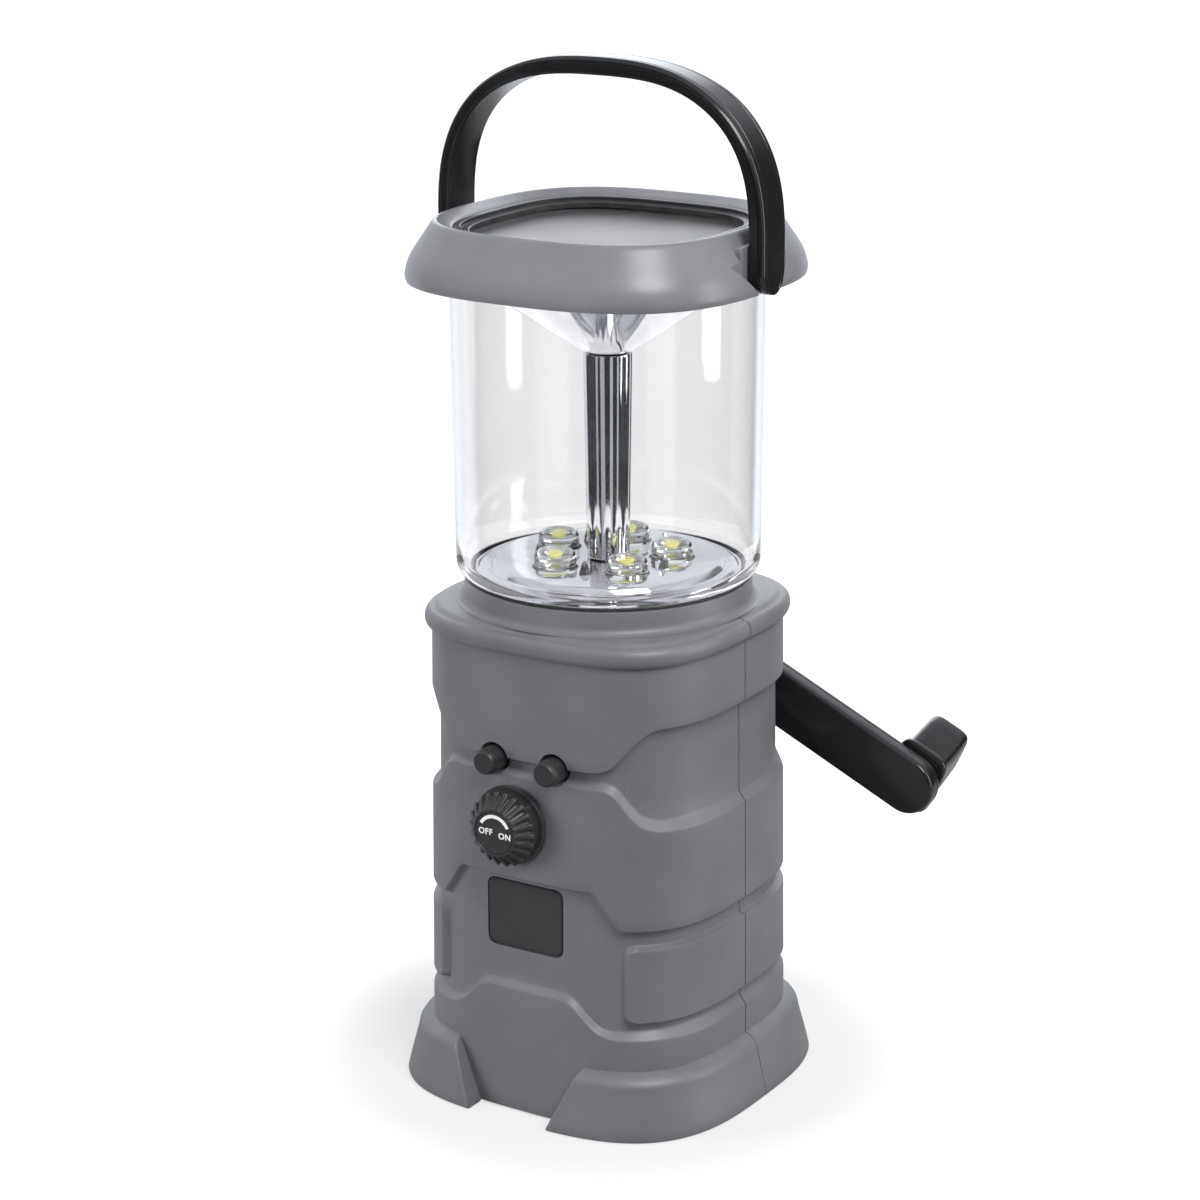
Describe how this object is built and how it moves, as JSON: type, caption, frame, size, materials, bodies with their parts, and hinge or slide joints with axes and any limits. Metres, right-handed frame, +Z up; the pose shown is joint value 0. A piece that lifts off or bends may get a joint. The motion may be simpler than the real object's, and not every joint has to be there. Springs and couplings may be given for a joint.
{
  "type": "hand crank lantern",
  "caption": "Lantern with a clear globe on a squared body, a solar cap, an arched carrying handle, a dimmer dial, push buttons and a crank on the back.",
  "frame": {"origin": "centre of the flat bottom face that the lantern stands on", "axes": "+Z up, -Y towards the front with the dial and the buttons, +X to the right as seen from the front"},
  "size_m": [0.1036, 0.1003, 0.23],
  "materials": {
    "body_grey": "satin, finely textured mid grey",
    "cap_grey": "satin mid grey, smoother than the body",
    "gloss_black": "glossy black",
    "matt_black": "matt black",
    "black_rubber": "matt black rubber",
    "clear_plastic": "clear, polished",
    "chrome_plate": "bright chrome plate",
    "steel": "plain bright steel",
    "brass": "turned brass",
    "lamp_lens": "clear lens over a yellow chip",
    "solar_cells": "brownish cells with fine grid lines",
    "circuit_board": "green circuit board",
    "cell_sleeve": "printed blue sleeve, left plain",
    "white_plastic": "plain white"
  },
  "bodies": {
    "housing": {"base_plate": "body_grey", "base_screw_1": "steel", "base_screw_2": "steel", "base_screw_3": "steel", "base_screw_4": "steel", "battery_cell_1": "cell_sleeve", "battery_cell_2": "cell_sleeve", "battery_cell_3": "cell_sleeve", "battery_holder": "matt_black", "cap_plate": "white_plastic", "case_screw_1": "steel", "case_screw_2": "steel", "case_screw_3": "steel", "case_screw_4": "steel", "charge_socket": "matt_black", "crank_bush": "brass", "dimmer_control": "steel", "dynamo_stator": "steel", "front_shell": "body_grey", "gear_frame": "steel", "globe": "clear_plastic", "globe_gasket": "black_rubber", "idler_axle": "steel", "lamp_1": "lamp_lens", "lamp_2": "lamp_lens", "lamp_3": "lamp_lens", "lamp_4": "lamp_lens", "lamp_5": "lamp_lens", "lamp_board": "white_plastic", "lamp_collar": "body_grey", "left_handle_pin": "steel", "left_switch": "steel", "main_board": "circuit_board", "rear_shell": "body_grey", "reflector_column": "chrome_plate", "reflector_cone": "chrome_plate", "reflector_tray": "chrome_plate", "right_handle_pin": "steel", "right_switch": "steel", "solar_bezel": "matt_black", "solar_panel": "solar_cells", "solar_window": "clear_plastic", "top_cap": "cap_grey", "usb_socket": "steel"},
    "handle": {"carry_handle": "gloss_black"},
    "crank": {"crank_arm": "gloss_black", "crank_shaft": "steel", "crank_gear": "white_plastic", "knob_pin": "steel"},
    "knob": {"crank_knob": "gloss_black"},
    "idler": {"idler_gear": "white_plastic"},
    "rotor": {"dynamo_rotor": "steel"},
    "dial": {"control_dial": "matt_black", "dial_spindle": "white_plastic"},
    "left_button": {"left_button": "matt_black"},
    "right_button": {"right_button": "matt_black"},
    "port_cover": {"port_cover": "black_rubber"}
  },
  "joints": [
    {"name": "handle_swing", "type": "hinge", "parent": "housing", "child": "handle", "pos_m": [0, 0, 0.188], "axis": [1, 0, 0], "range_deg": [-50, 50]},
    {"name": "crank_turn", "type": "hinge", "parent": "housing", "child": "crank", "pos_m": [0, 0.04, 0.0904], "axis": [0, 1, 0], "continuous": true},
    {"name": "knob_spin", "type": "hinge", "parent": "crank", "child": "knob", "pos_m": [0.05519, 0.05, 0.0649], "axis": [0, 1, 0], "continuous": true},
    {"name": "idler_turn", "type": "hinge", "parent": "housing", "child": "idler", "pos_m": [0.01125, 0.0185, 0.07699], "axis": [0, 1, 0], "continuous": true},
    {"name": "rotor_turn", "type": "hinge", "parent": "housing", "child": "rotor", "pos_m": [0, 0.0075, 0.07282], "axis": [0, 1, 0], "continuous": true},
    {"name": "dial_turn", "type": "hinge", "parent": "housing", "child": "dial", "pos_m": [-0.0027, -0.038, 0.068], "axis": [0, 1, 0], "range_deg": [0, 270]},
    {"name": "left_button_press", "type": "slide", "parent": "housing", "child": "left_button", "axis": [0, 1, 0], "range_m": [0, 0.001], "stiffness_N_per_m": 300},
    {"name": "right_button_press", "type": "slide", "parent": "housing", "child": "right_button", "axis": [0, 1, 0], "range_m": [0, 0.001], "stiffness_N_per_m": 300},
    {"name": "port_cover_flip", "type": "hinge", "parent": "housing", "child": "port_cover", "pos_m": [-0.0007, -0.03448, 0.0381], "axis": [1, 0, 0], "range_deg": [0, 120]}
  ],
  "couplings": [
    {"joint": "idler_turn", "follows": "crank_turn", "ratio": -4},
    {"joint": "rotor_turn", "follows": "crank_turn", "ratio": 16}
  ]
}
